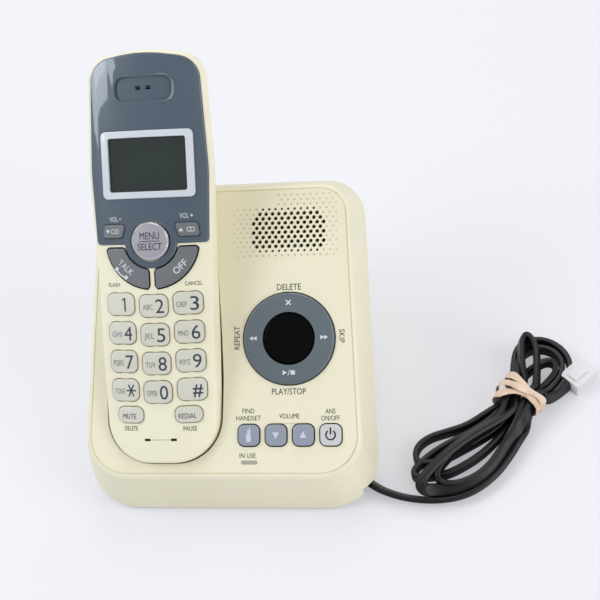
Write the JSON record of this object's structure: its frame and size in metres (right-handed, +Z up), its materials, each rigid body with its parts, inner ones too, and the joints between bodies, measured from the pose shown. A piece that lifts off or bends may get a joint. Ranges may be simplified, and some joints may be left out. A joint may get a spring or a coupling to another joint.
{
  "type": "answering machine",
  "caption": "Cordless telephone answering base with a sloped control panel, round rocker, loudspeaker grille and a handset standing in its cradle; flat line cord tied in a hank.",
  "frame": {"origin": "on the surface it stands on, under the middle of the base and handset together", "axes": "+Z up, -Y to the front, +X to the right as seen from the front"},
  "size_m": [0.2083, 0.1318, 0.139],
  "materials": {
    "cream_housing": "fine satin",
    "cream_handset": "fine satin",
    "slate_trim": "satin, faintly metallic",
    "silver_frame": "silver paint",
    "clear_window": "clear, polished",
    "dark_display": "smooth",
    "green_board": "solder mask",
    "grey_rubber": "moulded",
    "black_part": "moulded",
    "battery_wrap": "shrink wrap",
    "bright_contact": "plated spring metal",
    "steel_screw": "plain",
    "pale_key": "satin",
    "grey_key": "satin",
    "silver_key": "silver paint with a bright rim",
    "smoked_window": "polished, dark",
    "blue_grey_button": "satin",
    "pale_button": "satin",
    "light_pipe": "clear over an unlit lamp",
    "black_cord": "soft vinyl",
    "tan_band": "aged, slightly glossy",
    "clear_plug": "clear, moulded"
  },
  "bodies": {
    "base": {"base_top_housing": "cream_housing", "cradle_contacts": "bright_contact", "base_bottom_cover": "cream_housing", "base_feet": "grey_rubber", "base_screws": "steel_screw", "line_jack": "black_part", "power_jack": "black_part", "base_circuit_board": "green_board", "base_rubber_keymat": "grey_rubber", "board_screws": "steel_screw", "base_antenna": "bright_contact", "base_speaker": "black_part", "counter_window": "smoked_window", "counter_module": "dark_display", "in_use_light_pipe": "light_pipe", "line_plug": "clear_plug", "line_cord": "black_cord", "cord_hank": "black_cord", "cord_tie": "tan_band", "line_cord_tail": "black_cord", "free_line_plug": "clear_plug"},
    "handset": {"handset_front_shell": "cream_handset", "handset_bezel": "slate_trim", "display_frame": "silver_frame", "display_window": "clear_window", "handset_lcd": "dark_display", "handset_circuit_board": "green_board", "handset_rubber_keymat": "grey_rubber", "microphone": "black_part", "earpiece": "black_part", "handset_back_shell": "cream_handset", "battery_pack": "battery_wrap", "handset_contacts": "bright_contact", "handset_screws": "steel_screw"},
    "battery_cover": {"battery_cover": "cream_handset"},
    "rocker_pivot_frame": {"rocker_pivot_frame": "black_part"},
    "rocker_ring": {"rocker_ring": "slate_trim"},
    "find_handset_button": {"find_handset_button": "blue_grey_button"},
    "volume_down_button": {"volume_down_button": "blue_grey_button"},
    "volume_up_button": {"volume_up_button": "blue_grey_button"},
    "answer_on_off_button": {"answer_on_off_button": "pale_button"},
    "key_1": {"key_1": "pale_key"},
    "key_2": {"key_2": "pale_key"},
    "key_3": {"key_3": "pale_key"},
    "key_4": {"key_4": "pale_key"},
    "key_5": {"key_5": "pale_key"},
    "key_6": {"key_6": "pale_key"},
    "key_7": {"key_7": "pale_key"},
    "key_8": {"key_8": "pale_key"},
    "key_9": {"key_9": "pale_key"},
    "key_star": {"key_star": "pale_key"},
    "key_0": {"key_0": "pale_key"},
    "key_hash": {"key_hash": "pale_key"},
    "mute_key": {"mute_key": "pale_key"},
    "redial_key": {"redial_key": "pale_key"},
    "talk_key": {"talk_key": "grey_key"},
    "off_key": {"off_key": "grey_key"},
    "left_soft_key": {"left_soft_key": "grey_key"},
    "right_soft_key": {"right_soft_key": "grey_key"},
    "menu_key": {"menu_key": "silver_key"}
  },
  "joints": [
    {"name": "handset_lift", "type": "slide", "parent": "base", "child": "handset", "axis": [0, -0.5299, 0.848], "range_m": [0, 0.08]},
    {"name": "battery_cover_slide", "type": "slide", "parent": "handset", "child": "battery_cover", "axis": [0, -0.7314, -0.682], "range_m": [0, 0.008]},
    {"name": "rocker_up_down_tilt", "type": "hinge", "parent": "base", "child": "rocker_pivot_frame", "pos_m": [0.0272, -0.01733, 0.04908], "axis": [1, 0, 0], "range_deg": [-1.5, 1.5], "stiffness_Nm_per_rad": 0.8},
    {"name": "rocker_side_tilt", "type": "hinge", "parent": "rocker_pivot_frame", "child": "rocker_ring", "pos_m": [0.0272, -0.01733, 0.04908], "axis": [0, 0.848, 0.5299], "range_deg": [-1.5, 1.5], "stiffness_Nm_per_rad": 0.8},
    {"name": "find_handset_button_press", "type": "slide", "parent": "base", "child": "find_handset_button", "axis": [0, 0.5299, -0.848], "range_m": [0, 0.0008], "stiffness_N_per_m": 600},
    {"name": "volume_down_button_press", "type": "slide", "parent": "base", "child": "volume_down_button", "axis": [0, 0.5299, -0.848], "range_m": [0, 0.0008], "stiffness_N_per_m": 600},
    {"name": "volume_up_button_press", "type": "slide", "parent": "base", "child": "volume_up_button", "axis": [0, 0.5299, -0.848], "range_m": [0, 0.0008], "stiffness_N_per_m": 600},
    {"name": "answer_on_off_button_press", "type": "slide", "parent": "base", "child": "answer_on_off_button", "axis": [0, 0.5299, -0.848], "range_m": [0, 0.0008], "stiffness_N_per_m": 600},
    {"name": "key_1_press", "type": "slide", "parent": "handset", "child": "key_1", "axis": [0, 0.682, -0.7314], "range_m": [0, 0.0007], "stiffness_N_per_m": 600},
    {"name": "key_2_press", "type": "slide", "parent": "handset", "child": "key_2", "axis": [0, 0.682, -0.7314], "range_m": [0, 0.0007], "stiffness_N_per_m": 600},
    {"name": "key_3_press", "type": "slide", "parent": "handset", "child": "key_3", "axis": [0, 0.682, -0.7314], "range_m": [0, 0.0007], "stiffness_N_per_m": 600},
    {"name": "key_4_press", "type": "slide", "parent": "handset", "child": "key_4", "axis": [0, 0.682, -0.7314], "range_m": [0, 0.0007], "stiffness_N_per_m": 600},
    {"name": "key_5_press", "type": "slide", "parent": "handset", "child": "key_5", "axis": [0, 0.682, -0.7314], "range_m": [0, 0.0007], "stiffness_N_per_m": 600},
    {"name": "key_6_press", "type": "slide", "parent": "handset", "child": "key_6", "axis": [0, 0.682, -0.7314], "range_m": [0, 0.0007], "stiffness_N_per_m": 600},
    {"name": "key_7_press", "type": "slide", "parent": "handset", "child": "key_7", "axis": [0, 0.682, -0.7314], "range_m": [0, 0.0007], "stiffness_N_per_m": 600},
    {"name": "key_8_press", "type": "slide", "parent": "handset", "child": "key_8", "axis": [0, 0.682, -0.7314], "range_m": [0, 0.0007], "stiffness_N_per_m": 600},
    {"name": "key_9_press", "type": "slide", "parent": "handset", "child": "key_9", "axis": [0, 0.682, -0.7314], "range_m": [0, 0.0007], "stiffness_N_per_m": 600},
    {"name": "key_star_press", "type": "slide", "parent": "handset", "child": "key_star", "axis": [0, 0.682, -0.7314], "range_m": [0, 0.0007], "stiffness_N_per_m": 600},
    {"name": "key_0_press", "type": "slide", "parent": "handset", "child": "key_0", "axis": [0, 0.682, -0.7314], "range_m": [0, 0.0007], "stiffness_N_per_m": 600},
    {"name": "key_hash_press", "type": "slide", "parent": "handset", "child": "key_hash", "axis": [0, 0.682, -0.7314], "range_m": [0, 0.0007], "stiffness_N_per_m": 600},
    {"name": "mute_key_press", "type": "slide", "parent": "handset", "child": "mute_key", "axis": [0, 0.682, -0.7314], "range_m": [0, 0.0007], "stiffness_N_per_m": 600},
    {"name": "redial_key_press", "type": "slide", "parent": "handset", "child": "redial_key", "axis": [0, 0.682, -0.7314], "range_m": [0, 0.0007], "stiffness_N_per_m": 600},
    {"name": "talk_key_press", "type": "slide", "parent": "handset", "child": "talk_key", "axis": [0, 0.682, -0.7314], "range_m": [0, 0.0007], "stiffness_N_per_m": 600},
    {"name": "off_key_press", "type": "slide", "parent": "handset", "child": "off_key", "axis": [0, 0.682, -0.7314], "range_m": [0, 0.0007], "stiffness_N_per_m": 600},
    {"name": "left_soft_key_press", "type": "slide", "parent": "handset", "child": "left_soft_key", "axis": [0, 0.682, -0.7314], "range_m": [0, 0.0007], "stiffness_N_per_m": 600},
    {"name": "right_soft_key_press", "type": "slide", "parent": "handset", "child": "right_soft_key", "axis": [0, 0.682, -0.7314], "range_m": [0, 0.0007], "stiffness_N_per_m": 600},
    {"name": "menu_key_press", "type": "slide", "parent": "handset", "child": "menu_key", "axis": [0, 0.682, -0.7314], "range_m": [0, 0.0007], "stiffness_N_per_m": 600}
  ]
}
